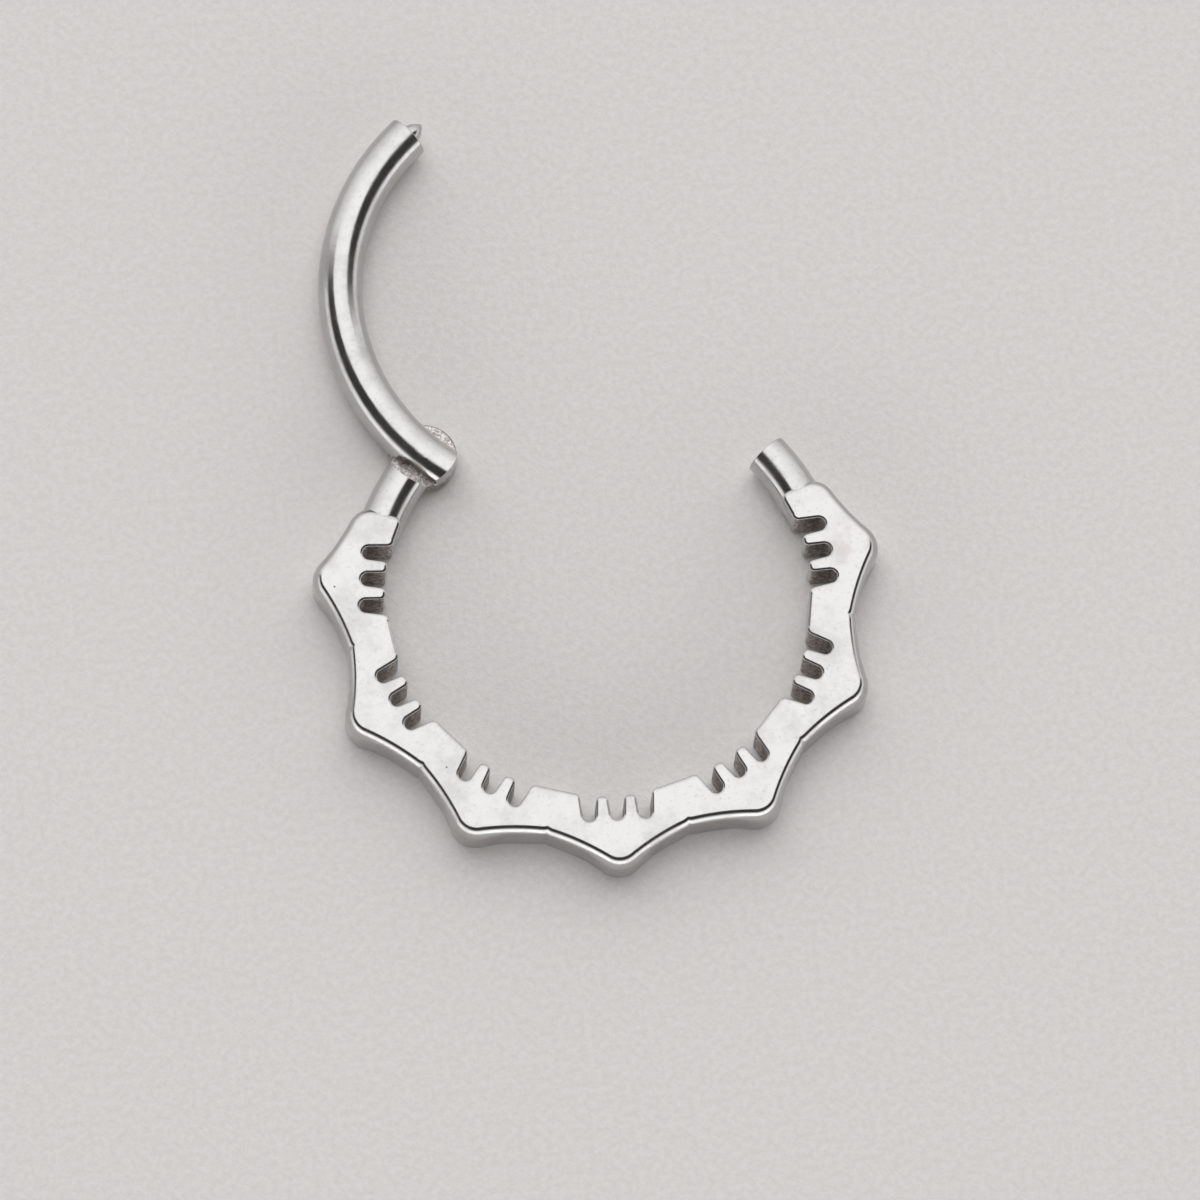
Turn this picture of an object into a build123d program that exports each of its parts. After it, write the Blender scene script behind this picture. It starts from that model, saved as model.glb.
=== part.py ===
from build123d import *

import os
from math import asin, atan2, cos, degrees, radians, sin, sqrt

# Wire ring, in millimetres, with its centre at the origin and the plate's underside at z = 0
wire_diameter = 1.2
ring_inner_diameter = 11.08

# Plate: a row of motifs, each a spike outside and three slots inside, angles in degrees
plate_thickness = 1.23
motif_count = 7
motif_step = 32.42
spike_reach = 7.53
spike_tip_radius = 0.62
flank_hollow = 6.0
valley_reach = 6.83
tooth_reach = 5.62
finger_setback = 0.05
plate_overhang = 0.19
plate_corner_share = 0.465
outer_edge_radius = 0.18
inner_edge_radius = 0.09

# Slots of one motif
slots_per_motif = 3
slot_pitch = 0.746
slot_mouth_width = 0.42
slot_end_width = 0.36
slot_share = 0.605
finger_corner_radius = 0.11

# Wire ends that come out of the plate
hinge_stub_length = 2.13
catch_stub_length = 1.39
wire_edge_break = 0.03

# Half-lap hinge, turning about an upright axis on the wire's centreline
tongue_radius = 0.88
knuckle_floor = 0.2
shoulder_clearance = 0.06
lap_gap = 0.03
pin_diameter = 0.5
pin_running_clearance = 0.02
open_angle = 91.7

# Flat filed on the outer side of the bar's tongue, leaning in towards the top
flat_offset = 0.43
flat_lean = 4.5
flat_length_past_axis = 0.1
flat_runout_radius = 0.24

# Free end of the bar, its nub and the socket that takes it
end_gap = 0.03
nub_radius = 0.28
nub_length = 0.47
nub_shoulder_radius = 0.27
nub_shoulder_length = 0.28
nub_tip_radius = 0.03
socket_clearance = 0.03

# Sizes worked out from the ones above
wire_radius = wire_diameter / 2
ring_radius = ring_inner_diameter / 2 + wire_radius
mid_height = plate_thickness / 2
half_step = radians(motif_step / 2)
last_index = (motif_count - 1) / 2
end_index = motif_count / 2
motif_indices = [position - last_index for position in range(motif_count)]
plate_end_turn = end_index * motif_step + degrees(asin(plate_overhang / ring_radius))
catch_plate_angle = plate_end_turn - 90
hinge_plate_angle = 270 - plate_end_turn
outer_slot_across = (slots_per_motif - 1) / 2 * slot_pitch
root_turn = degrees(half_step + (plate_overhang - outer_slot_across) / ring_radius)
catch_end_angle = catch_plate_angle + degrees(catch_stub_length / ring_radius)
hinge_angle = hinge_plate_angle - degrees(hinge_stub_length / ring_radius)
bar_end_angle = catch_end_angle + degrees(end_gap / ring_radius)
shoulder_radius = tongue_radius + shoulder_clearance
tongue_turn = degrees(shoulder_radius / ring_radius)
pin_radius = pin_diameter / 2
finger_reach = tooth_reach + finger_setback
slot_reach = tooth_reach + slot_share * (valley_reach - tooth_reach)
round_corner_middle = 1 - sqrt(0.5)


def ring_point(angle, reach, height=mid_height):
    """Point at an angle round the ring and a distance from its centre."""
    turn = radians(angle)
    return Vector(reach * cos(turn), reach * sin(turn), height)


def motif_point(index, across, out):
    """Point of the motif with this index, across its axis and out from the ring's centre."""
    turn = radians(index * motif_step)
    return Vector(across * cos(turn) + out * sin(turn), across * sin(turn) - out * cos(turn))


def section_plane(frame, angle):
    """Plane square to the wire's centreline at an angle round the ring, x pointing outwards."""
    turn = radians(angle)
    square = Plane(
        origin=ring_point(angle, ring_radius),
        x_dir=(cos(turn), sin(turn), 0),
        z_dir=(-sin(turn), cos(turn), 0),
    )
    return Plane(frame * square.location)


# The hinge axis, and where the closed ring's centre goes when the bar swings open
hinge_foot = ring_point(hinge_angle, ring_radius, 0)
ring_frame = Location((0, 0, 0))
bar_frame = Location(hinge_foot - hinge_foot.rotate(Axis.Z, open_angle), (0, 0, open_angle))


def wire_stretch(frame, start_angle, end_angle):
    """Adds the round wire between two angles round the ring."""
    with BuildSketch(section_plane(frame, start_angle)) as section:
        Circle(wire_radius)
    revolve(section.sketch, axis=Axis(frame.position, (0, 0, 1)), revolution_arc=end_angle - start_angle)


def hinge_cylinder(radius, lowest, highest, mode):
    """Upright cylinder about the hinge axis."""
    with BuildSketch(Plane(hinge_foot).offset(lowest)) as disc:
        Circle(radius)
    extrude(disc.sketch, amount=highest - lowest, mode=mode)


def tongue(frame, start_angle, end_angle):
    """Wire that runs past the hinge axis and ends round about it."""
    with BuildPart(mode=Mode.PRIVATE) as tip:
        wire_stretch(frame, start_angle, end_angle)
        hinge_cylinder(tongue_radius, 0, plate_thickness, Mode.INTERSECT)
    return tip.part


# Spike flanks: one arc from the rounded tip to the valley, hollow towards the outside. At the
# tip it is steeper than its chord by the hollow.
hollow = radians(flank_hollow)
valley_across = valley_reach * sin(half_step)
valley_out = valley_reach * cos(half_step)
tip_centre_rise = spike_reach - spike_tip_radius - valley_out
tip_to_valley = sqrt(valley_across**2 + tip_centre_rise**2)
slope = atan2(tip_centre_rise, valley_across) + hollow + asin(spike_tip_radius * cos(hollow) / tip_to_valley)
shoulder_across = spike_tip_radius * sin(slope)
shoulder_out = spike_reach - spike_tip_radius * (1 - cos(slope))
flank_run = valley_across - shoulder_across
flank_fall = shoulder_out - valley_out
flank_radius = (flank_run**2 + flank_fall**2) / (2 * (flank_run * sin(slope) - flank_fall * cos(slope)))
flank_centre_across = shoulder_across + flank_radius * sin(slope)
flank_centre_out = shoulder_out + flank_radius * cos(slope)

# The last flanks run on to the plate's ends, measured in the axes of the last valley
end_centre_across = flank_centre_across * cos(half_step) - flank_centre_out * sin(half_step)
end_centre_out = flank_centre_out * cos(half_step) + flank_centre_across * sin(half_step)
plate_end_out = end_centre_out - sqrt(flank_radius**2 - (end_centre_across - plate_overhang) ** 2)

# Inner corner between a motif's fingers and the wide tooth beside them
inner_corner_across = (tooth_reach - finger_reach * cos(half_step)) / sin(half_step)

with BuildSketch() as plate_outline:
    with BuildLine():
        for index in motif_indices:
            ThreePointArc(
                motif_point(index, -shoulder_across, shoulder_out),
                motif_point(index, 0, spike_reach),
                motif_point(index, shoulder_across, shoulder_out),
            )
            for side in (-1, 1):
                flank_foot = motif_point(index + side / 2, 0, valley_reach)
                if index == side * last_index:
                    flank_foot = motif_point(side * end_index, side * plate_overhang, plate_end_out)
                TangentArc(
                    motif_point(index, side * shoulder_across, shoulder_out),
                    flank_foot,
                    tangent=motif_point(index, side * cos(slope), -sin(slope)),
                )
        inner_corners = [
            motif_point(index, side * inner_corner_across, finger_reach)
            for index in motif_indices
            for side in (-1, 1)
        ]
        Polyline(
            motif_point(-end_index, -plate_overhang, plate_end_out),
            motif_point(-end_index, -plate_overhang, tooth_reach),
            *inner_corners,
            motif_point(end_index, plate_overhang, tooth_reach),
            motif_point(end_index, plate_overhang, plate_end_out),
        )
    make_face()
    plate_corners = [
        vertices().sort_by_distance(motif_point(side * end_index, side * plate_overhang, plate_end_out))[0]
        for side in (-1, 1)
    ]
    fillet(plate_corners, radius=plate_corner_share * (plate_end_out - tooth_reach))


def lies_flat(edge):
    """True for an edge of the plate's upper or lower face."""
    return abs((edge % 0.5).Z) < sin(half_step)


def runs_round(edge):
    """True for a straight edge that runs round the ring's opening."""
    middle = edge @ 0.5
    outwards = Vector(middle.X, middle.Y).normalized()
    return edge.geom_type == GeomType.LINE and abs((edge % 0.5).dot(outwards)) < sin(half_step)


def opening_edge(across):
    """How far out the opening's edge lies at a place across a motif."""
    if abs(across) < inner_corner_across:
        return finger_reach
    return (tooth_reach - abs(across) * sin(half_step)) / cos(half_step)


def slot_outline(index, across):
    """Slot that narrows to a round closed end, its mouth's corners rounded into its neighbours."""
    end_radius = slot_end_width / 2
    round_centre = slot_reach - end_radius
    mouth_floor = tooth_reach - slot_mouth_width
    corner_middle = finger_corner_radius * round_corner_middle
    with BuildLine() as outline:
        ThreePointArc(
            motif_point(index, across - end_radius, round_centre),
            motif_point(index, across, slot_reach),
            motif_point(index, across + end_radius, round_centre),
        )
        mouth_corners = []
        for side in (-1, 1):
            wall = across + side * slot_mouth_width / 2
            rounded = wall + side * finger_corner_radius
            corner_out = opening_edge(rounded)
            wall_end = motif_point(index, wall, corner_out + finger_corner_radius)
            mouth_corners.append(motif_point(index, rounded, mouth_floor))
            Line(motif_point(index, across + side * end_radius, round_centre), wall_end)
            ThreePointArc(
                wall_end,
                motif_point(index, wall + side * corner_middle, corner_out + corner_middle),
                motif_point(index, rounded, corner_out),
            )
            Line(motif_point(index, rounded, corner_out), mouth_corners[-1])
        Line(*mouth_corners)
    make_face(outline.edges())


# Rounded ends of the two halves of the hinge's lap
segment_tongue = tongue(ring_frame, hinge_angle, hinge_angle - tongue_turn)
bar_tongue = tongue(bar_frame, hinge_angle, hinge_angle + tongue_turn)

# The bar's nub leaves its socket square to the line from the hinge, so the socket slants that way
catch_plane = section_plane(ring_frame, catch_end_angle)
catch_arm = (catch_plane.origin - ring_point(hinge_angle, ring_radius)).normalized()
way_out = catch_arm.rotate(Axis.Z, 90)
out_share = way_out.dot(catch_plane.x_dir)
along_share = way_out.dot(catch_plane.z_dir)
socket_side = catch_plane.x_dir * along_share - catch_plane.z_dir * out_share
nub_inner_reach = along_share * nub_radius
nub_outer_reach = sqrt((along_share * nub_radius) ** 2 + (out_share * nub_length) ** 2)
nub_depth = sqrt((out_share * nub_radius) ** 2 + (along_share * nub_length) ** 2)
socket_radius = (nub_inner_reach + nub_outer_reach) / 2 + socket_clearance
socket_floor = (
    catch_plane.origin
    + socket_side * ((nub_outer_reach - nub_inner_reach) / 2)
    - way_out * (nub_depth + socket_clearance)
)

with BuildPart() as decorated_segment:
    add(plate_outline.sketch)
    extrude(amount=plate_thickness)
    outer_rims = edges().filter_by(lies_flat).filter_by(runs_round, reverse=True)
    fillet(outer_rims, radius=outer_edge_radius)
    inner_rims = edges().filter_by(lies_flat).filter_by(runs_round)
    fillet(inner_rims, radius=inner_edge_radius)

    # Each wire end starts inside the plate, at its first slot
    wire_stretch(ring_frame, catch_plate_angle - root_turn, catch_end_angle)
    wire_stretch(ring_frame, hinge_plate_angle + root_turn, hinge_angle)
    add(segment_tongue)
    hinge_cylinder(tongue_radius, knuckle_floor, mid_height, Mode.ADD)
    catch_rim = faces().sort_by_distance(catch_plane.origin)[0].edges()
    fillet(catch_rim, radius=wire_edge_break)

    with BuildSketch() as slots:
        for index in motif_indices:
            for number in range(slots_per_motif):
                slot_outline(index, number * slot_pitch - outer_slot_across)
    extrude(amount=plate_thickness, mode=Mode.SUBTRACT)

    hinge_cylinder(shoulder_radius, mid_height - lap_gap / 2, plate_thickness, Mode.SUBTRACT)
    hinge_cylinder(pin_radius + pin_running_clearance, 0, mid_height, Mode.SUBTRACT)
    with BuildSketch(Plane(origin=socket_floor, z_dir=way_out)):
        Circle(socket_radius)
    extrude(amount=wire_diameter, mode=Mode.SUBTRACT)

bar_end = section_plane(bar_frame, bar_end_angle)
hinge_section = section_plane(bar_frame, hinge_angle)

with BuildPart() as hinged_bar:
    wire_stretch(bar_frame, hinge_angle, bar_end_angle)
    bar_rim = faces().sort_by_distance(bar_end.origin)[0].edges()
    fillet(bar_rim, radius=wire_edge_break)

    nub_plane = Plane(origin=bar_end.origin, x_dir=bar_end.x_dir, z_dir=bar_end.y_dir)
    with BuildSketch(nub_plane):
        with BuildLine():
            nub_root = -nub_radius
            nub_tip = (nub_tip_radius, nub_length)
            Bezier((nub_radius, 0), (nub_shoulder_radius, nub_shoulder_length), nub_tip)
            Polyline((nub_radius, 0), (nub_radius, nub_root), (0, nub_root), (0, nub_length), nub_tip)
        make_face()
    revolve(axis=Axis(bar_end.origin, bar_end.z_dir))

    add(bar_tongue)
    hinge_cylinder(shoulder_radius, 0, mid_height + lap_gap / 2, Mode.SUBTRACT)
    hinge_cylinder(pin_radius, 0, plate_thickness, Mode.SUBTRACT)

    flat_plane = Plane(origin=hinge_section.origin, x_dir=hinge_section.x_dir, z_dir=(0, 0, 1)).rotated(
        (0, -flat_lean, 0)
    )
    with BuildSketch(flat_plane):
        with BuildLine():
            runout_start = (flat_offset, -flat_length_past_axis)
            runout_end = (
                flat_offset + flat_runout_radius,
                -flat_length_past_axis - flat_runout_radius,
            )
            ThreePointArc(
                runout_start,
                (
                    flat_offset + flat_runout_radius * round_corner_middle,
                    runout_end[1] + flat_runout_radius * round_corner_middle,
                ),
                runout_end,
            )
            Polyline(
                runout_end,
                (wire_diameter, runout_end[1]),
                (wire_diameter, wire_diameter),
                (flat_offset, wire_diameter),
                runout_start,
            )
        make_face()
    extrude(amount=wire_diameter, both=True, mode=Mode.SUBTRACT)

with BuildPart() as hinge_pin:
    wire_stretch(bar_frame, hinge_angle - tongue_turn, hinge_angle + tongue_turn)
    pin_foot = mid_height - sqrt(wire_radius**2 - pin_radius**2)
    hinge_cylinder(pin_radius, pin_foot, plate_thickness, Mode.INTERSECT)

os.makedirs("parts", exist_ok=True)
decorated_segment.part.label = "decorated_segment"
export_step(decorated_segment.part, "parts/decorated_segment.step")
hinged_bar.part.label = "hinged_bar"
export_step(hinged_bar.part, "parts/hinged_bar.step")
hinge_pin.part.label = "hinge_pin"
export_step(hinge_pin.part, "parts/hinge_pin.step")
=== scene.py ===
"""Looks of the hinged segment ring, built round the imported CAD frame."""

from math import asin, atan2, cos, degrees, hypot, pi, radians, sin, sqrt

import bpy
import numpy as np
from mathutils import Matrix, Vector


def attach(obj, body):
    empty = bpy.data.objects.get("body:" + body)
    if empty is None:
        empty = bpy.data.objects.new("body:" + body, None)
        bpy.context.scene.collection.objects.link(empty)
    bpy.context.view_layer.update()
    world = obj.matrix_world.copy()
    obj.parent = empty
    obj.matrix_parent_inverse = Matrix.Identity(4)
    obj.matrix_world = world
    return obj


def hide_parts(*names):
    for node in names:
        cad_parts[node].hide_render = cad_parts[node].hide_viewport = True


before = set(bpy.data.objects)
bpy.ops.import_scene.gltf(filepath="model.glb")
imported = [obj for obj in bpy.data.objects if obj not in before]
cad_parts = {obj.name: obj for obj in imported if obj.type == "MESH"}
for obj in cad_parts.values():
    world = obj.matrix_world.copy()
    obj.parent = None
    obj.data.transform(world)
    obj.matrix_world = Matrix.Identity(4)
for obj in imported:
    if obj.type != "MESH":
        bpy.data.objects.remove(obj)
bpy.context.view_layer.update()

# Lengths are in millimetres, in the frame of the CAD model, and turned into metres with MM
MM = 0.001
UP = Vector((0, 0, 1))

# Camera: the ring lies turned a little in the picture, and the camera looks from the near side of
# straight above. Places in the picture are in pixels of a frame 1200 wide, and the distances at
# which the camera clips are in metres.
PICTURE_TURN = radians(4.25)
CAMERA_TILT = radians(18.2)
CAMERA_SWING = radians(7)
CAMERA_LENS = 300
CAMERA_CLIP = (0.01, 10)
SENSOR_WIDTH = 36
FRAME_PIXELS = 1200
PIXELS_PER_MM = 37.5
RING_CENTRE_PIXEL = (598.9, 591.9)

# Studio, by a direction's parts to the east, north and up. A bright panel fills the sky north of an
# edge that bends north on both sides, most in the east. A pale band lies low round the near
# horizon, brightens southwards and reaches farther north in the east. Between the two it is dark.
PANEL_EDGE = -0.2
PANEL_BEND = 2.35
PANEL_POWER = 3.0
PANEL_EAST = 0.5
PANEL_MIDDLE = 0.03
PANEL_LAST_EDGE = 0.44
PANEL_FADE = (-0.13, 0.11)
PANEL_HEIGHTS = (0.1, 0.95)
PANEL_LEVELS = (0.845, 1.545)
BAND_HEIGHTS = (0.47, 0.24)
BAND_FADE = (0.5, 0.25)
BAND_EAST = 0.35
BAND_RISE = (0.1, -0.85)
BAND_LEVELS = (1.03, 1.96)
DARK_LEVEL = 0.055
WHITE_LEVEL = 0.7
DARK_TINT = (1, 0.93, 0.9, 1)
WHITE = (1, 1, 1, 1)

# Noises of the finishes: scale per metre, detail, roughness and distortion
PAPER_GRAIN = (5500.0, 2.0, 0.85, 0.0)
WAVES = (420.0, 2.0, 0.5, 0.0)
ORANGE_PEEL = (2600.0, 2.0, 0.55, 0.0)
HAIRLINES = (15000.0, 1.0, 0.6, 0.0)
SMUDGES = (800.0, 4.0, 0.66, 0.0)
SPECKS = (10000.0, 2.0, 0.75, 0.0)
CUT_GRAIN = (9000.0, 4.0, 0.7, 0.0)
LAP_GRAIN = (17000.0, 3.0, 0.7, 0.4)
FILE_LINES = (16000.0, 3.0, 0.6, 0.0)

# Stretches of a noise over which a tone gives way to the next one
PAPER_FADE = (0.3, 0.7)
PAPER_SPECK_FADE = (0.25, 0.2)
DIRT_FADE = (0.4, 0.68)
SPECK_FADE = (0.58, 0.72)
STAIN_FADE = (0.4, 0.6)
CUT_FADE = (0.35, 0.65)
LAP_FADE = (0.38, 0.62)
FILED_FADE = (0.35, 0.65)

# Tones
PAPER_TONES = ((0.887, 0.859, 0.84, 1), (0.958, 0.931, 0.914, 1))
PAPER_SPECK_TONE = (0.78, 0.743, 0.723, 1)
POLISH_TONES = ((0.56, 0.555, 0.55, 1), (0.497, 0.485, 0.479, 1))
SPECK_TONE = (0.40, 0.385, 0.378, 1)
STAIN_TONE = (0.46, 0.38, 0.37, 1)
# Painted shade inside the casting pits, darkest in their middle
PIT_SHADE_TONE = (0.12, 0.11, 0.105, 1)
CUT_TONES = ((0.21, 0.178, 0.163, 1), (0.62, 0.565, 0.54, 1))
LAP_TONES = ((0.38, 0.335, 0.32, 1), (0.88, 0.84, 0.825, 1))
FILED_TONES = ((0.19, 0.155, 0.14, 1), (0.5, 0.45, 0.42, 1))

# Reliefs of the finishes: strength and depth
PAPER_RELIEF = (0.35, 0.05)
POLISH_RELIEF = (0.8, 0.01)
CUT_RELIEF = (0.6, 0.01)
LAP_RELIEF = (1.0, 0.028)
FILED_RELIEF = (0.8, 0.02)

# Roughness of the finishes, of the polish where it is clean, and what its smudges add to that
PAPER_ROUGHNESS = 0.62
POLISH_ROUGHNESS = 0.15
DIRT_ROUGHNESS = 0.1
CUT_ROUGHNESS = 0.55
LAP_ROUGHNESS = 0.32
FILED_ROUGHNESS = 0.35

# Shares of the waves, orange peel, hairlines and pits in the polish's relief, and the strongest
# share of the specks' and the stain's tones
POLISH_SHARES = (0.45, 0.15, 0.02, -0.5)
MARK_SHARE = 0.5

# Direction of the hairlines in radians, and the factors on a place that draw a noise out into lines
HAIRLINE_TURN = 0.6
HAIRLINE_STRETCH = (1.0, 0.05, 1.0)
FILE_STRETCH = (1.0, 0.04, 1.0)

# Tiny casting pits on the polished faces, sunk by the relief and darkened by painted shade: x, y, z
# and radius, and the share of it that is darkest
PITS = ((-7.02, 0.62, 1.23, 0.035), (-4.42, -4.6, 1.23, 0.032), (-4.55, 4.32, 1.2, 0.028))
PIT_FLOOR = 0.35

# Faint warm stain on the plate's right part: its middle, and where it ends and is strongest
STAIN_PLACE = (6.97, 0.94, 1.23)
STAIN_REACH = (0.9, 0.1)

# Half a side of the paper
FLOOR_HALF = 400

# Wire ring
WIRE_RADIUS = 0.6
RING_RADIUS = 6.14
PLATE_TOP = 1.23
MID_HEIGHT = PLATE_TOP / 2

# Plate outline. Each motif is one spike with its flanks and the three slots inside it.
MOTIFS = 7
STEP = 32.42
SPIKE_REACH = 7.53
TIP_RADIUS = 0.62
FLANK_HOLLOW = 7.2
VALLEY_REACH = 6.83
TOOTH_REACH = 5.62
FINGER_REACH = 5.67
OVERHANG = 0.19
END_CORNER = 0.56
INNER_END_CORNER = 0.2
VALLEY_NOTCH = 0.02
NOTCH_REACH = 0.14
SLOT_PITCH = 0.746
SLOT_ACROSS = (SLOT_PITCH, 0.0, -SLOT_PITCH)
SLOT_MOUTH = 0.42
SLOT_END = 0.36
SLOT_REACH = 6.352
FINGER_CORNER = 0.14
TOOTH_CORNER = 0.18

# Points on the outline's stretches, the least distance between two and the longest edge
TIP_POINTS = 32
FLANK_POINTS = 48
END_FLANK_POINTS = 36
CORNER_POINTS = 28
INNER_CORNER_POINTS = 8
END_POINTS = 14
SLOT_END_POINTS = 22
SLOT_SIDE_POINTS = 9
CLOSEST_POINTS = 0.002
LONGEST_EDGE = 0.12

# Rounding of the plate's upper and lower edges. The outer rim turns over on a small radius, then on
# a wider one, and leans out a little below that, most at the spikes' tips. The flanks' leans are
# given at shares of the way from the tip to the valley, or to the plate's end.
RIM_ROUND = 0.18
RIM_RADII = (0.18, 0.5)
RIM_TURNS = (radians(40), radians(58))
TIP_LEAN = 0.11
FLANK_LEAN = 0.05
VALLEY_LEAN = 0.03
LEAST_LEAN = 0.002
FLANK_LEANS = ((0, 0.35, 0.8, 1), (TIP_LEAN, FLANK_LEAN, FLANK_LEAN, VALLEY_LEAN))
END_FLANK_LEANS = ((0, 0.35, 1), (TIP_LEAN, FLANK_LEAN, FLANK_LEAN))

# The inner edges turn over on a radius wider than their rounding, then on a tighter one
INNER_WIDE = 1.35
INNER_TIGHT = (1 - INNER_WIDE * sin(RIM_TURNS[0])) / (1 - sin(RIM_TURNS[0]))
END_ROUND = 0.14
FINGER_ROUND = 0.125
SLOT_ROUND = 0.09
UNDER_ROUND = 0.2

# Steps of the rim's three stretches, tilts of the lower edge's rows in degrees, the tilts between
# which a face counts as wall, and the largest turn of the outline that is shaded smooth
RIM_STEPS = (6, 5, 4)
UNDER_TILTS = (90, 72, 54, 36, 18, 0)
WALL_TILTS = (radians(60), radians(120))
SMOOTH_TURN = radians(9)

# Hinge and free end. The knuckle's upper edge is sloped between two angles, in degrees from the
# direction out of the ring.
HINGE_ANGLE = 134.8805
OPEN_ANGLE = 91.7
SHOULDER_RADIUS = 0.94
TONGUE_RADIUS = 0.88
KNUCKLE_FLOOR = 0.2
KNUCKLE_EDGE = 0.04
KNUCKLE_EDGE_TURNS = (-210, 30)
LAP_GAP = 0.03
CATCH_END_ANGLE = 38.21
EDGE_BREAK = 0.03
NUB_RADIUS = 0.28
NUB_LENGTH = 0.47
SOCKET_CLEARANCE = 0.03
PIN_HOLE_RADIUS = 0.27

# Each wire's run inside the plate, almost to the first slot, how far it moves out on the way, and
# the run in degrees round the ring
ROOT_RUN = 0.9
ROOT_SHIFT = 0.16
ROOT_TURN = degrees(ROOT_RUN / RING_RADIUS)

# The hinge's wire goes this many tongue radii past the pin before its tip is cut
UNCUT_RUN = 1.3

# Sizes of the cutting shapes where they only have to reach past what they cut
TIP_CUT_REACH = 2.5
TIP_CUT_HEIGHTS = (-0.2, 1.5)
LAP_CUT_HEIGHT = 1
HOLE_CUT_FOOT = -0.2
HOLE_CUT_HEIGHT = 1
SOCKET_CUT_LENGTH = 1.2
KNUCKLE_SPARE = 0.1
EDGE_SPARE = 0.02

# Sides of round shapes, degrees between a wire's rows, tilts of the rows at its broken edge, and
# the angle from which an edge is shaded sharp
WIRE_SIDES = 128
TIP_SIDES = 64
HOLE_SIDES = 48
SOCKET_SIDES = 64
KNUCKLE_EDGE_ROWS = 97
WIRE_ROW_TURN = 0.75
BREAK_TILTS = (0, 22.5, 45, 67.5, 90)
SHARP_TURN = radians(28)

# Finding the bar's finishes: how far a facet's middle may lie off the round surface it stands for,
# how far the hinge reaches, how level a lap is, and how much a filed face looks outwards
FACET = 0.012
HINGE_REACH = 1.5
LEVEL = 0.99
FACING_OUT = 0.2

# Half the turn between motifs in radians, the indices of the last motif and of the plate's end, how
# far round from its middle the plate ends, and the angles of those ends, in degrees
HALF = radians(STEP / 2)
LAST = (MOTIFS - 1) // 2
END = MOTIFS / 2
PLATE_END_TURN = END * STEP + degrees(asin(OVERHANG / RING_RADIUS))
CATCH_PLATE_ANGLE = PLATE_END_TURN - 90
HINGE_PLATE_ANGLE = 270 - PLATE_END_TURN

# Numbers of the finishes on a mesh
POLISHED, SLOT_WALL, LAP, FILED = range(4)


def make_camera():
    """Camera that sees the ring's centre, level with the plate's face, at its pixel."""
    focal = CAMERA_LENS / SENSOR_WIDTH * FRAME_PIXELS
    distance = focal / PIXELS_PER_MM
    aside = (RING_CENTRE_PIXEL[0] - FRAME_PIXELS / 2) / PIXELS_PER_MM
    below = (RING_CENTRE_PIXEL[1] - FRAME_PIXELS / 2) / PIXELS_PER_MM
    swing = Matrix.Rotation(-CAMERA_SWING, 3, "Z")
    turn = Matrix.Rotation(-PICTURE_TURN, 3, "Z") @ swing
    turn = turn @ Matrix.Rotation(CAMERA_TILT, 3, "X") @ swing.inverted()
    place = Vector((0, 0, PLATE_TOP)) + turn @ Vector((-aside, below, distance))
    camera_data = bpy.data.cameras.new("camera")
    camera_data.lens = CAMERA_LENS
    camera_data.sensor_width = SENSOR_WIDTH
    camera_data.clip_start, camera_data.clip_end = CAMERA_CLIP
    camera = bpy.data.objects.new("camera", camera_data)
    bpy.context.scene.collection.objects.link(camera)
    camera.matrix_world = Matrix.Translation(place * MM) @ turn.to_4x4()
    bpy.context.scene.camera = camera


class Shader:
    """Short calls for adding and joining nodes."""

    def __init__(self, tree):
        tree.nodes.clear()
        self.tree = tree

    def node(self, kind, inputs=None, **settings):
        made = self.tree.nodes.new(kind)
        for name, value in settings.items():
            setattr(made, name, value)
        for name, value in (inputs or {}).items():
            self.feed(made.inputs[name], value)
        return made

    def feed(self, socket, value):
        """Links a socket to another one, or sets its value."""
        if isinstance(value, bpy.types.NodeSocket):
            self.tree.links.new(value, socket)
        else:
            socket.default_value = value

    def math(self, operation, *values):
        made = self.node("ShaderNodeMath", dict(enumerate(values)), operation=operation)
        return made.outputs[0]

    def ramp(self, value, low, high, to_low=0.0, to_high=1.0, smooth=True):
        made = self.node(
            "ShaderNodeMapRange",
            {
                "Value": value,
                "From Min": low,
                "From Max": high,
                "To Min": to_low,
                "To Max": to_high,
            },
            interpolation_type="SMOOTHSTEP" if smooth else "LINEAR",
        )
        return made.outputs["Result"]

    def mix(self, share, first, second):
        """Mixes two colours. The node's colour sockets come after those for numbers and vectors."""
        made = self.node("ShaderNodeMix", data_type="RGBA")
        for number, value in ((0, share), (6, first), (7, second)):
            self.feed(made.inputs[number], value)
        return made.outputs[2]

    def noise(self, where, scale, detail, roughness, distortion):
        made = self.node(
            "ShaderNodeTexNoise",
            {
                "Vector": where,
                "Scale": scale,
                "Detail": detail,
                "Roughness": roughness,
                "Distortion": distortion,
            },
        )
        return made.outputs["Fac"]

    def turned(self, where, angle):
        """A direction or place turned about the vertical."""
        made = self.node(
            "ShaderNodeVectorRotate", {"Vector": where, "Angle": angle}, rotation_type="Z_AXIS"
        )
        return made.outputs[0]

    def stretched(self, where, shares):
        made = self.node("ShaderNodeVectorMath", {0: where, 1: shares}, operation="MULTIPLY")
        return made.outputs[0]

    def distance(self, where, place):
        """Distance in metres from a place in millimetres."""
        place = tuple(c * MM for c in place)
        made = self.node("ShaderNodeVectorMath", {0: where, 1: place}, operation="DISTANCE")
        return made.outputs["Value"]

    def surface(self, tone, roughness, height, relief, metallic=1.0):
        """Joins a tone, a roughness and a relief to the output."""
        strength, depth = relief
        bump = self.node(
            "ShaderNodeBump", {"Strength": strength, "Distance": depth * MM, "Height": height}
        )
        made = self.node(
            "ShaderNodeBsdfPrincipled",
            {
                "Base Color": tone,
                "Metallic": metallic,
                "Roughness": roughness,
                "Normal": bump.outputs[0],
            },
        )
        self.node("ShaderNodeOutputMaterial", {"Surface": made.outputs[0]})


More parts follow.
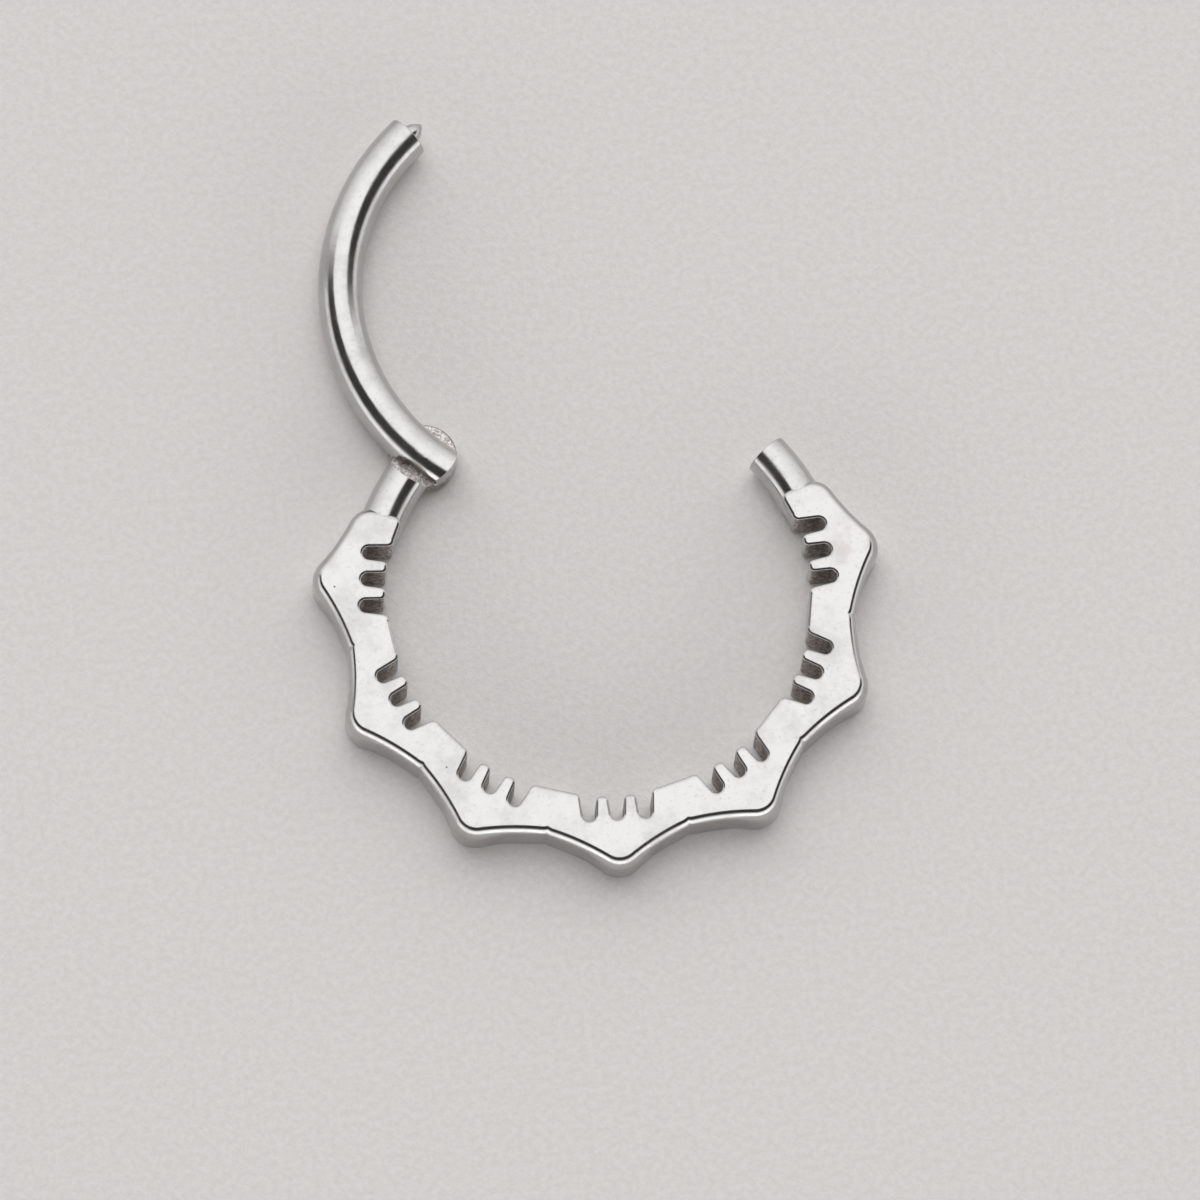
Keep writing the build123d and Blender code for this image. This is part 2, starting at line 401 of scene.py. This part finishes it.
def make_world():
    """Soft studio: a bright panel overhead and to the north, a pale band round the near horizon."""
    world = bpy.data.worlds.new("studio")
    bpy.context.scene.world = world
    world.use_nodes = True
    s = Shader(world.node_tree)
    where = s.node("ShaderNodeTexCoord").outputs["Generated"]
    x, y, z = s.node("ShaderNodeSeparateXYZ", {0: s.turned(where, PICTURE_TURN)}).outputs
    east = s.math("MAXIMUM", x, 0.0)
    aside = s.math("ABSOLUTE", s.math("SUBTRACT", x, PANEL_MIDDLE))
    edge = s.math("MULTIPLY_ADD", s.math("POWER", aside, PANEL_POWER), PANEL_BEND, PANEL_EDGE)
    edge = s.math("MULTIPLY_ADD", east, PANEL_EAST, edge)
    edge = s.math("MINIMUM", edge, PANEL_LAST_EDGE)
    panel = s.ramp(s.math("SUBTRACT", y, edge), *PANEL_FADE)
    panel_level = s.ramp(z, *PANEL_HEIGHTS, *PANEL_LEVELS, smooth=False)
    low = s.ramp(z, *BAND_HEIGHTS)
    near = s.ramp(s.math("MULTIPLY_ADD", east, -BAND_EAST, y), *BAND_FADE)
    band_level = s.ramp(y, *BAND_RISE, *BAND_LEVELS)
    band = s.math("MULTIPLY", s.math("MULTIPLY", low, near), band_level)
    level = s.math("MAXIMUM", s.math("MULTIPLY", panel, panel_level), band)
    level = s.math("MAXIMUM", level, DARK_LEVEL)
    tint = s.mix(s.ramp(level, DARK_LEVEL, WHITE_LEVEL), DARK_TINT, WHITE)
    background = s.node("ShaderNodeBackground", {"Color": tint, "Strength": level})
    s.node("ShaderNodeOutputWorld", {"Surface": background.outputs[0]})


def new_material(name):
    """Material, its shader calls and the places on the object that carries it."""
    material = bpy.data.materials.new(name)
    material.use_nodes = True
    s = Shader(material.node_tree)
    return material, s, s.node("ShaderNodeTexCoord").outputs["Object"]


def make_floor():
    """Pale paper under the ring."""
    half = FLOOR_HALF * MM
    corners = [(-half, -half, 0), (half, -half, 0), (half, half, 0), (-half, half, 0)]
    floor = new_mesh("floor", corners, [(0, 1, 2, 3)], [0])
    material, s, where = new_material("paper")
    grain = s.noise(where, *PAPER_GRAIN)
    tone = s.mix(s.ramp(grain, *PAPER_FADE), *PAPER_TONES)
    tone = s.mix(s.ramp(grain, *PAPER_SPECK_FADE), tone, PAPER_SPECK_TONE)
    s.surface(tone, PAPER_ROUGHNESS, grain, PAPER_RELIEF, metallic=0.0)
    floor.data.materials.append(material)


def polished_steel():
    """Steel polished by hand: faint waves, smudges, hairlines, a stain and a few pits darkened by
    painted shade.
    """
    material, s, where = new_material("polished_steel")
    smudges = s.noise(where, *SMUDGES)
    lines = s.noise(s.stretched(s.turned(where, HAIRLINE_TURN), HAIRLINE_STRETCH), *HAIRLINES)
    pits = 0.0
    for *place, radius in PITS:
        pit = s.ramp(s.distance(where, place), radius * MM, radius * PIT_FLOOR * MM)
        pits = s.math("MAXIMUM", pits, pit)
    height = 0.0
    parts = (s.noise(where, *WAVES), s.noise(where, *ORANGE_PEEL), lines, pits)
    for part, share in zip(parts, POLISH_SHARES):
        height = s.math("MULTIPLY_ADD", part, share, height)
    dirt = s.ramp(smudges, *DIRT_FADE)
    tone = s.mix(dirt, *POLISH_TONES)
    specks = s.ramp(s.noise(where, *SPECKS), *SPECK_FADE)
    tone = s.mix(s.math("MULTIPLY", specks, MARK_SHARE), tone, SPECK_TONE)
    near_stain = s.ramp(s.distance(where, STAIN_PLACE), *(reach * MM for reach in STAIN_REACH))
    stain = s.math("MULTIPLY", near_stain, s.ramp(smudges, *STAIN_FADE))
    tone = s.mix(s.math("MULTIPLY", stain, MARK_SHARE), tone, STAIN_TONE)
    # Painted shade darkens each pit, most in its middle
    tone = s.mix(pits, tone, PIT_SHADE_TONE)
    roughness = s.math("MULTIPLY_ADD", dirt, DIRT_ROUGHNESS, POLISH_ROUGHNESS)
    s.surface(tone, roughness, height, POLISH_RELIEF)
    return material


def slot_steel():
    """Slot walls as the cutter left them: matt, brownish grey, with fine grain."""
    material, s, where = new_material("slot_steel")
    grain = s.noise(where, *CUT_GRAIN)
    s.surface(s.mix(s.ramp(grain, *CUT_FADE), *CUT_TONES), CUT_ROUGHNESS, grain, CUT_RELIEF)
    return material


def lap_steel():
    """Lap and shoulder of the hinge: rough sparkling cut metal."""
    material, s, where = new_material("lap_steel")
    grain = s.noise(where, *LAP_GRAIN)
    s.surface(s.mix(s.ramp(grain, *LAP_FADE), *LAP_TONES), LAP_ROUGHNESS, grain, LAP_RELIEF)
    return material


def filed_steel():
    """Flat beside the hinge and the knuckle's side: file lines that run along the bar."""
    material, s, where = new_material("filed_steel")
    along_bar = s.turned(where, -radians(HINGE_ANGLE + OPEN_ANGLE))
    lines = s.noise(s.stretched(along_bar, FILE_STRETCH), *FILE_LINES)
    tone = s.mix(s.ramp(lines, *FILED_FADE), *FILED_TONES)
    s.surface(tone, FILED_ROUGHNESS, lines, FILED_RELIEF)
    return material


def motif_point(index, across, out):
    """Point of the motif with this index, across its axis and out from the ring's centre."""
    turn = radians(index * STEP)
    return np.array((across * cos(turn) + out * sin(turn), across * sin(turn) - out * cos(turn)))


def arc(centre, radius, start, end, count):
    """Points on an arc between two angles in radians, both ends included."""
    turns = np.linspace(start, end, count)
    return [(centre[0] + radius * cos(t), centre[1] + radius * sin(t)) for t in turns]


def line(start, end, count):
    """Points on a straight line, both ends included."""
    return [tuple(p) for p in np.linspace(start, end, count)]


def mirrored(points):
    """The same stretch on the other side of a motif's axis, in the outline's order."""
    return [(-across, out) for across, out in reversed(points)]


def opening_edge(across):
    """How far out the opening's edge lies at a place across a motif."""
    if abs(across) * sin(HALF) < TOOTH_REACH - FINGER_REACH * cos(HALF):
        return FINGER_REACH
    return (TOOTH_REACH - abs(across) * sin(HALF)) / cos(HALF)


def flank_shape():
    """Shoulder angle of the spike's tip arc, and the centre and radius of the flank's arc."""
    hollow = radians(FLANK_HOLLOW)
    valley = (VALLEY_REACH * sin(HALF), VALLEY_REACH * cos(HALF))
    rise = SPIKE_REACH - TIP_RADIUS - valley[1]
    slope = asin(TIP_RADIUS * cos(hollow) / hypot(valley[0], rise))
    slope += atan2(rise, valley[0]) + hollow
    shoulder = (TIP_RADIUS * sin(slope), SPIKE_REACH - TIP_RADIUS * (1 - cos(slope)))
    run, fall = valley[0] - shoulder[0], shoulder[1] - valley[1]
    radius = (run**2 + fall**2) / (2 * (run * sin(slope) - fall * cos(slope)))
    centre = (shoulder[0] + radius * sin(slope), shoulder[1] + radius * cos(slope))
    return slope, centre, radius


def end_stretches(centre, radius, flank_start):
    """The last flank and the plate's rounded outer corner, from the arc of the other flanks."""
    across = centre[0] * cos(HALF) - centre[1] * sin(HALF)
    out = centre[1] * cos(HALF) + centre[0] * sin(HALF)
    corner_across = OVERHANG - END_CORNER
    corner_out = out - sqrt((radius + END_CORNER) ** 2 - (across - corner_across) ** 2)
    to_flank = atan2(out - corner_out, across - corner_across)
    flank = arc(centre, radius, flank_start, to_flank - pi - HALF, END_FLANK_POINTS)
    corner = arc((corner_across, corner_out), END_CORNER, to_flank, 0, CORNER_POINTS)
    return flank, corner


def add_points(rows, index, points, rounding, lean=None, finish=POLISHED):
    """Adds a stretch of a motif to the outline, without points that repeat the one before."""
    count = len(points)
    leans = [None] * count if lean is None else np.broadcast_to(lean, count)
    for (across, out), edge, rim in zip(points, np.broadcast_to(rounding, count), leans):
        x, y = motif_point(index, across, out)
        if not rows or hypot(x - rows[-1][0], y - rows[-1][1]) >= CLOSEST_POINTS:
            rows.append((x, y, edge, rim, finish))


def add_slot(rows, index, across):
    """Adds a slot, from the rounded corner on one side of its mouth to that on the other side."""
    end_radius = SLOT_END / 2
    end_centre = SLOT_REACH - end_radius
    sides = []
    for side in (1, -1):
        wall = across + side * SLOT_MOUTH / 2
        radius = TOOTH_CORNER if across * side > 0 else FINGER_CORNER
        rounded = wall + side * radius
        centre = (rounded, opening_edge(rounded) + radius)
        corner = arc(centre, radius, -pi / 2, -pi / 2 - side * pi / 2, SLOT_SIDE_POINTS)
        wall_end = (across + side * end_radius, end_centre)
        sides.append((corner, line(corner[-1], wall_end, SLOT_SIDE_POINTS)))
    (corner, wall), (far_corner, far_wall) = sides
    slot_end = arc((across, end_centre), end_radius, 0, pi, SLOT_END_POINTS)
    fades = np.linspace(FINGER_ROUND, SLOT_ROUND, len(corner))
    half = len(corner) // 2
    add_points(rows, index, corner[:half], fades[:half])
    add_points(rows, index, corner[half:], fades[half:], finish=SLOT_WALL)
    for points in (wall, slot_end, far_wall[::-1]):
        add_points(rows, index, points, SLOT_ROUND, finish=SLOT_WALL)
    add_points(rows, index, far_corner[half:][::-1], fades[half:][::-1], finish=SLOT_WALL)
    add_points(rows, index, far_corner[:half][::-1], fades[:half][::-1])


def plate_outline():
    """Outline of the plate, anticlockwise: rows of x, y, rounding, lean of the rim and finish."""
    slope, centre, radius = flank_shape()
    flank_start = -pi / 2 - slope
    valley = (VALLEY_REACH * sin(HALF), VALLEY_REACH * cos(HALF))
    valley_turn = atan2(valley[1] - centre[1], valley[0] - centre[0])
    tip = arc((0, SPIKE_REACH - TIP_RADIUS), TIP_RADIUS, pi / 2 + slope, pi / 2 - slope, TIP_POINTS)
    flank = []
    for across, out in arc(centre, radius, flank_start, valley_turn, FLANK_POINTS):
        left = hypot(valley[0] - across, valley[1] - out)
        dip = VALLEY_NOTCH * max(1 - left / NOTCH_REACH, 0) ** 2
        flank.append((across - dip * sin(HALF), out - dip * cos(HALF)))
    end_flank, corner = end_stretches(centre, radius, flank_start)
    inner_centre = (OVERHANG - INNER_END_CORNER, TOOTH_REACH + INNER_END_CORNER)
    inner_corner = arc(inner_centre, INNER_END_CORNER, 0, -pi / 2, INNER_CORNER_POINTS)
    plate_end = line(corner[-1], inner_corner[0], END_POINTS)[1:-1]
    corner = corner[1:]

    flank_lean = np.interp(np.linspace(0, 1, len(flank)), *FLANK_LEANS)
    end_flank_lean = np.interp(np.linspace(0, 1, len(end_flank)), *END_FLANK_LEANS)
    corner_lean = np.linspace(FLANK_LEAN, 0, len(corner))
    end_fade = np.linspace(RIM_ROUND, END_ROUND, len(plate_end))
    inner_fade = np.linspace(END_ROUND, FINGER_ROUND, len(inner_corner))

    rows = []
    add_points(rows, -END, mirrored(plate_end), end_fade[::-1])
    add_points(rows, -END, mirrored(corner), RIM_ROUND, corner_lean[::-1])
    for index in range(-LAST, LAST + 1):
        before, lean = (end_flank, end_flank_lean) if index == -LAST else (flank, flank_lean)
        add_points(rows, index, mirrored(before), RIM_ROUND, lean[::-1])
        add_points(rows, index, tip, RIM_ROUND, TIP_LEAN)
        after, lean = (end_flank, end_flank_lean) if index == LAST else (flank, flank_lean)
        add_points(rows, index, after, RIM_ROUND, lean)
    add_points(rows, END, corner, RIM_ROUND, corner_lean)
    add_points(rows, END, plate_end, end_fade)
    add_points(rows, END, inner_corner, inner_fade)
    for index in range(LAST, -LAST - 1, -1):
        for across in SLOT_ACROSS:
            add_slot(rows, index, across)
    add_points(rows, -END, mirrored(inner_corner), inner_fade[::-1])
    return rows


def rim_radii(rounding, lean):
    """Radii on which an upper edge turns over, by stretches of its tilt."""
    if lean is None:
        return rounding * INNER_WIDE, rounding * INNER_TIGHT, rounding * INNER_TIGHT
    room = RIM_ROUND - RIM_RADII[0] * sin(RIM_TURNS[0])
    room -= RIM_RADII[1] * (sin(RIM_TURNS[1]) - sin(RIM_TURNS[0]))
    return *RIM_RADII, max(room + lean, LEAST_LEAN) / (1 - sin(RIM_TURNS[1]))


def fill_long_gaps(rows):
    """Adds points on straight stretches, so that no edge of the outline is too long."""
    filled = []
    for row, after in zip(rows, rows[1:] + rows[:1]):
        filled.append(row)
        extra = int(hypot(after[0] - row[0], after[1] - row[1]) / LONGEST_EDGE)
        for number in range(extra):
            share = (number + 1) / (extra + 1)
            between = tuple(a + (b - a) * share for a, b in zip(row[:3], after[:3]))
            filled.append(between + row[3:])
    return filled


def outline_normals(points):
    """Normals of the outline after and before each point, and the step in by 1 mm from it."""
    ahead = np.roll(points, -1, 0) - points
    ahead /= np.linalg.norm(ahead, axis=1)[:, None]
    after = np.stack([ahead[:, 1], -ahead[:, 0]], 1)
    before = np.roll(after, 1, 0)
    cosine = (after * before).sum(1)
    middle = after + before
    inward = -middle / (1 + cosine)[:, None]
    middle /= np.linalg.norm(middle, axis=1)[:, None]
    smooth = (cosine > cos(SMOOTH_TURN))[:, None]
    return np.where(smooth, middle, after), np.where(smooth, middle, before), inward


def plate_levels(rows):
    """Levels from the face's edge down to the underside's: inset, height and tilt of the normal."""
    rounding = np.array([r[2] for r in rows])
    radii = np.array([rim_radii(*r[2:4]) for r in rows])
    stops = (0, *RIM_TURNS, pi / 2)
    inset, drop, levels = rounding, np.zeros(len(rows)), []
    for radius, start, end, steps in zip(radii.T, stops, stops[1:], RIM_STEPS):
        for tilt in np.linspace(start, end, steps, endpoint=False):
            turned = sin(tilt) - sin(start), cos(start) - cos(tilt)
            levels.append((inset - radius * turned[0], PLATE_TOP - drop - radius * turned[1], tilt))
        inset = inset - radius * (sin(end) - sin(start))
        drop = drop + radius * (cos(start) - cos(end))
    levels.append((inset, PLATE_TOP - drop, pi / 2))
    under = np.minimum(UNDER_ROUND, rounding)
    for tilt in np.radians(UNDER_TILTS):
        levels.append((inset + under * (1 - sin(tilt)), under * (1 - cos(tilt)), pi - tilt))
    return levels


def make_plate():
    """Plate with rounded upper and lower edges, from its outline."""
    rows = fill_long_gaps(plate_outline())
    count = len(rows)
    points = np.array([r[:2] for r in rows])
    kinds = [r[4] for r in rows]
    after, before, inward = outline_normals(points)
    levels = plate_levels(rows)
    vertices = []
    for inset, heights, _ in levels:
        flat = points + inward * inset[:, None]
        vertices += [(x * MM, y * MM, z * MM) for (x, y), z in zip(flat, heights)]
    faces, normals, finishes = [], [], []
    for level in range(len(levels) - 1):
        upper, lower = level * count, (level + 1) * count
        tilt, next_tilt = levels[level][2], levels[level + 1][2]
        in_wall = tilt > WALL_TILTS[0] and next_tilt < WALL_TILTS[1]
        for i in range(count):
            j = (i + 1) % count
            faces.append((upper + i, lower + i, lower + j, upper + j))
            sides = (after[i], after[i], before[j], before[j])
            for (x, y), t in zip(sides, (tilt, next_tilt, next_tilt, tilt)):
                normals.append((x * sin(t), y * sin(t), cos(t)))
            cut = in_wall and kinds[i] == kinds[j] == SLOT_WALL
            finishes.append(SLOT_WALL if cut else POLISHED)
    faces += [tuple(range(count)), tuple(reversed(range(len(vertices) - count, len(vertices))))]
    normals += [(0, 0, 1)] * count + [(0, 0, -1)] * count
    finishes += [POLISHED, POLISHED]
    made = new_mesh("plate", vertices, faces, finishes)
    made.data.polygons.foreach_set("use_smooth", [True] * len(faces))
    made.data.normals_split_custom_set(normals)
    return made


def new_mesh(name, vertices, faces, finishes):
    """Mesh object from vertices in metres, with the number of each face's finish."""
    mesh = bpy.data.meshes.new(name)
    mesh.from_pydata(vertices, [], faces)
    mesh.polygons.foreach_set("material_index", finishes)
    made = bpy.data.objects.new(name, mesh)
    bpy.context.scene.collection.objects.link(made)
    return made


def ring_point(angle, reach, height=MID_HEIGHT):
    """Point at an angle round the ring and a distance from its centre."""
    turn = radians(angle)
    return Vector((reach * cos(turn), reach * sin(turn), height))


def closed_tube(name, first_end, last_end, finish):
    """Closed shape between two outlines with the same number of points."""
    count = len(first_end)
    faces = [tuple(reversed(range(count))), tuple(range(count, 2 * count))]
    faces += [(i, (i + 1) % count, count + (i + 1) % count, count + i) for i in range(count)]
    return new_mesh(name, [v * MM for v in first_end + last_end], faces, [finish] * len(faces))


def prism(name, origin, across, outline, heights, finish):
    """Upright prism on an outline given along and beside a direction, to cut with."""
    beside = Vector((-across.y, across.x, 0))
    ends = []
    for height in heights:
        ends.append([origin + across * u + beside * w + UP * height for u, w in outline])
    return closed_tube(name, *ends, finish)


def rod(name, foot, way, radius, length, finish, sides=WIRE_SIDES):
    """Round rod from its foot along a direction."""
    side = way.orthogonal().normalized()
    other = way.cross(side)
    ends = []
    for end in (0, length):
        turns = [2 * pi * number / sides for number in range(sides)]
        middle = foot + way * end
        ends.append([middle + side * (radius * cos(t)) + other * (radius * sin(t)) for t in turns])
    return closed_tube(name, *ends, finish)


def wire(name, inside_angle, end_angle):
    """Round wire from inside the plate to an end with a broken edge."""
    way = 1 if end_angle > inside_angle else -1
    rows = int(abs(end_angle - inside_angle) / WIRE_ROW_TURN) + 1
    stations = [(a, WIRE_RADIUS) for a in np.linspace(inside_angle, end_angle, rows)[:-1]]
    for tilt in np.radians(BREAK_TILTS):
        back = degrees(EDGE_BREAK * (1 - sin(tilt)) / RING_RADIUS)
        stations.append((end_angle - way * back, WIRE_RADIUS - EDGE_BREAK * (1 - cos(tilt))))
    vertices = []
    for angle, radius in stations:
        inside = max(1 - abs(angle - inside_angle) / ROOT_TURN, 0)
        reach = RING_RADIUS + ROOT_SHIFT * inside**2
        for number in range(WIRE_SIDES):
            turn = 2 * pi * number / WIRE_SIDES
            height = MID_HEIGHT + radius * sin(turn)
            vertices.append(ring_point(angle, reach + radius * cos(turn), height) * MM)
    faces = [tuple(range(WIRE_SIDES))]
    faces.append(tuple(reversed(range(len(vertices) - WIRE_SIDES, len(vertices)))))
    for row in range(0, len(vertices) - WIRE_SIDES, WIRE_SIDES):
        after = row + WIRE_SIDES
        for i in range(WIRE_SIDES):
            j = (i + 1) % WIRE_SIDES
            faces.append((row + j, row + i, after + i, after + j))
    if way < 0:
        faces = [tuple(reversed(f)) for f in faces]
    return new_mesh(name, vertices, faces, [POLISHED] * len(faces))


def edge_cutter(name, foot, across, top):
    """Wedge bent round the knuckle's free side, to slope its upper edge."""
    beside = Vector((-across.y, across.x, 0))
    inner, outer = TONGUE_RADIUS - KNUCKLE_EDGE - EDGE_SPARE, TONGUE_RADIUS + EDGE_SPARE
    low, high = top - KNUCKLE_EDGE - EDGE_SPARE, top + EDGE_SPARE
    vertices, faces = [], []
    for turn in np.radians(np.linspace(*KNUCKLE_EDGE_TURNS, KNUCKLE_EDGE_ROWS)):
        way = across * cos(turn) + beside * sin(turn)
        for reach, height in ((inner, high), (outer, low), (outer, high)):
            vertices.append((foot + way * reach + UP * height) * MM)
    for row in range(0, len(vertices) - 3, 3):
        for a, b in ((0, 1), (1, 2), (2, 0)):
            faces.append((row + b, row + a, row + 3 + a, row + 3 + b))
    faces += [(0, 1, 2), tuple(reversed(range(len(vertices) - 3, len(vertices))))]
    return new_mesh(name, vertices, faces, [FILED] * len(faces))


def combine(base, cutter, operation="DIFFERENCE"):
    """Cuts or joins two meshes and keeps the first one."""
    modifier = base.modifiers.new("cut", "BOOLEAN")
    modifier.operation = operation
    modifier.solver = "EXACT"
    modifier.object = cutter
    bpy.context.view_layer.update()
    shaped = base.evaluated_get(bpy.context.evaluated_depsgraph_get())
    shaped = bpy.data.meshes.new_from_object(shaped)
    base.modifiers.clear()
    base.data = shaped
    bpy.data.objects.remove(cutter)


def set_materials(made, materials):
    """Adds the finishes in their fixed order, so that the faces' material numbers hold."""
    for material in materials:
        made.data.materials.append(material)


def smooth_shape(made):
    """Smooth shading with sharp edges where faces meet at an angle."""
    made.data.polygons.foreach_set("use_smooth", [True] * len(made.data.polygons))
    made.data.set_sharp_from_angle(angle=SHARP_TURN)


def make_hinge_stub(materials):
    """Wire end with the lower half of the lap and its tongue."""
    uncut = UNCUT_RUN * degrees(TONGUE_RADIUS / RING_RADIUS)
    stub = wire("hinge_stub", HINGE_PLATE_ANGLE + ROOT_TURN, HINGE_ANGLE - uncut)
    set_materials(stub, materials)
    foot = ring_point(HINGE_ANGLE, RING_RADIUS, 0)
    outwards = ring_point(HINGE_ANGLE, 1, 0)
    top = MID_HEIGHT - LAP_GAP / 2
    knuckle_foot = foot + UP * KNUCKLE_FLOOR
    knuckle_height = top - KNUCKLE_FLOOR + KNUCKLE_SPARE
    knuckle = rod("knuckle", knuckle_foot, UP, TONGUE_RADIUS, knuckle_height, FILED)
    set_materials(knuckle, materials)
    combine(stub, knuckle, "UNION")
    far = TIP_CUT_REACH
    tip = arc((0, 0), TONGUE_RADIUS, 0, -pi, TIP_SIDES)
    tip += [(-far, 0), (-far, -far), (far, -far), (far, 0)]
    hole_foot = foot + UP * HOLE_CUT_FOOT
    tools = (
        prism("tip", foot, outwards, tip, TIP_CUT_HEIGHTS, POLISHED),
        rod("lap", foot + UP * top, UP, SHOULDER_RADIUS, LAP_CUT_HEIGHT, LAP),
        edge_cutter("edge", foot, outwards, top),
        rod("pin_hole", hole_foot, UP, PIN_HOLE_RADIUS, HOLE_CUT_HEIGHT, LAP, HOLE_SIDES),
    )
    for tool in tools:
        set_materials(tool, materials)
        combine(stub, tool)
    smooth_shape(stub)
    return stub


def make_catch_stub(materials):
    """Plain wire end with the blind socket for the bar's nub."""
    stub = wire("catch_stub", CATCH_PLATE_ANGLE - ROOT_TURN, CATCH_END_ANGLE)
    set_materials(stub, materials)
    end = ring_point(CATCH_END_ANGLE, RING_RADIUS)
    outwards = ring_point(CATCH_END_ANGLE, 1, 0)
    along = Vector((-outwards.y, outwards.x, 0))
    arm = (end - ring_point(HINGE_ANGLE, RING_RADIUS)).normalized()
    way_out = Vector((-arm.y, arm.x, 0))
    out_share, along_share = way_out.dot(outwards), way_out.dot(along)
    side = outwards * along_share - along * out_share
    inner = along_share * NUB_RADIUS
    outer = hypot(along_share * NUB_RADIUS, out_share * NUB_LENGTH)
    depth = hypot(out_share * NUB_RADIUS, along_share * NUB_LENGTH)
    floor = end + side * ((outer - inner) / 2) - way_out * (depth + SOCKET_CLEARANCE)
    radius = (inner + outer) / 2 + SOCKET_CLEARANCE
    socket = rod("socket", floor, way_out, radius, SOCKET_CUT_LENGTH, SLOT_WALL, SOCKET_SIDES)
    set_materials(socket, materials)
    combine(stub, socket)
    smooth_shape(stub)
    return stub


def paint_bar(bar):
    """Gives each face of the bar its finish: lap, filed flat or polished."""
    foot = ring_point(HINGE_ANGLE, RING_RADIUS, 0)
    outwards = ring_point(HINGE_ANGLE + OPEN_ANGLE, 1, 0)
    ring_centre = foot - ring_point(HINGE_ANGLE + OPEN_ANGLE, RING_RADIUS, 0)
    turn = bar.matrix_world.to_3x3().normalized()
    numbers = []
    for face in bar.data.polygons:
        corner = bar.matrix_world @ bar.data.vertices[face.vertices[0]].co / MM
        place = bar.matrix_world @ face.center / MM
        normal = turn @ face.normal
        from_ring = place - ring_centre
        off_wire = hypot(hypot(from_ring.x, from_ring.y) - RING_RADIUS, place.z - MID_HEIGHT)
        far = hypot(corner.x - foot.x, corner.y - foot.y)
        number = POLISHED
        if off_wire < WIRE_RADIUS - FACET and far < HINGE_REACH:
            if abs(normal.z) > LEVEL or abs(far - SHOULDER_RADIUS) < FACET:
                number = LAP
            elif normal.dot(outwards) > FACING_OUT and abs(far - TONGUE_RADIUS) > FACET:
                number = FILED
        numbers.append(number)
    bar.data.polygons.foreach_set("material_index", numbers)


bpy.context.scene.view_settings.view_transform = "Standard"
make_camera()
make_world()
make_floor()

finishes = [polished_steel(), slot_steel(), lap_steel(), filed_steel()]
plate = make_plate()
set_materials(plate, finishes)
for piece in (plate, make_hinge_stub(finishes), make_catch_stub(finishes)):
    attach(piece, "segment")
    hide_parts("decorated_segment")

for name in ("hinged_bar", "hinge_pin"):
    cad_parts[name].data.materials.clear()
    set_materials(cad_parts[name], finishes)
paint_bar(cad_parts["hinged_bar"])
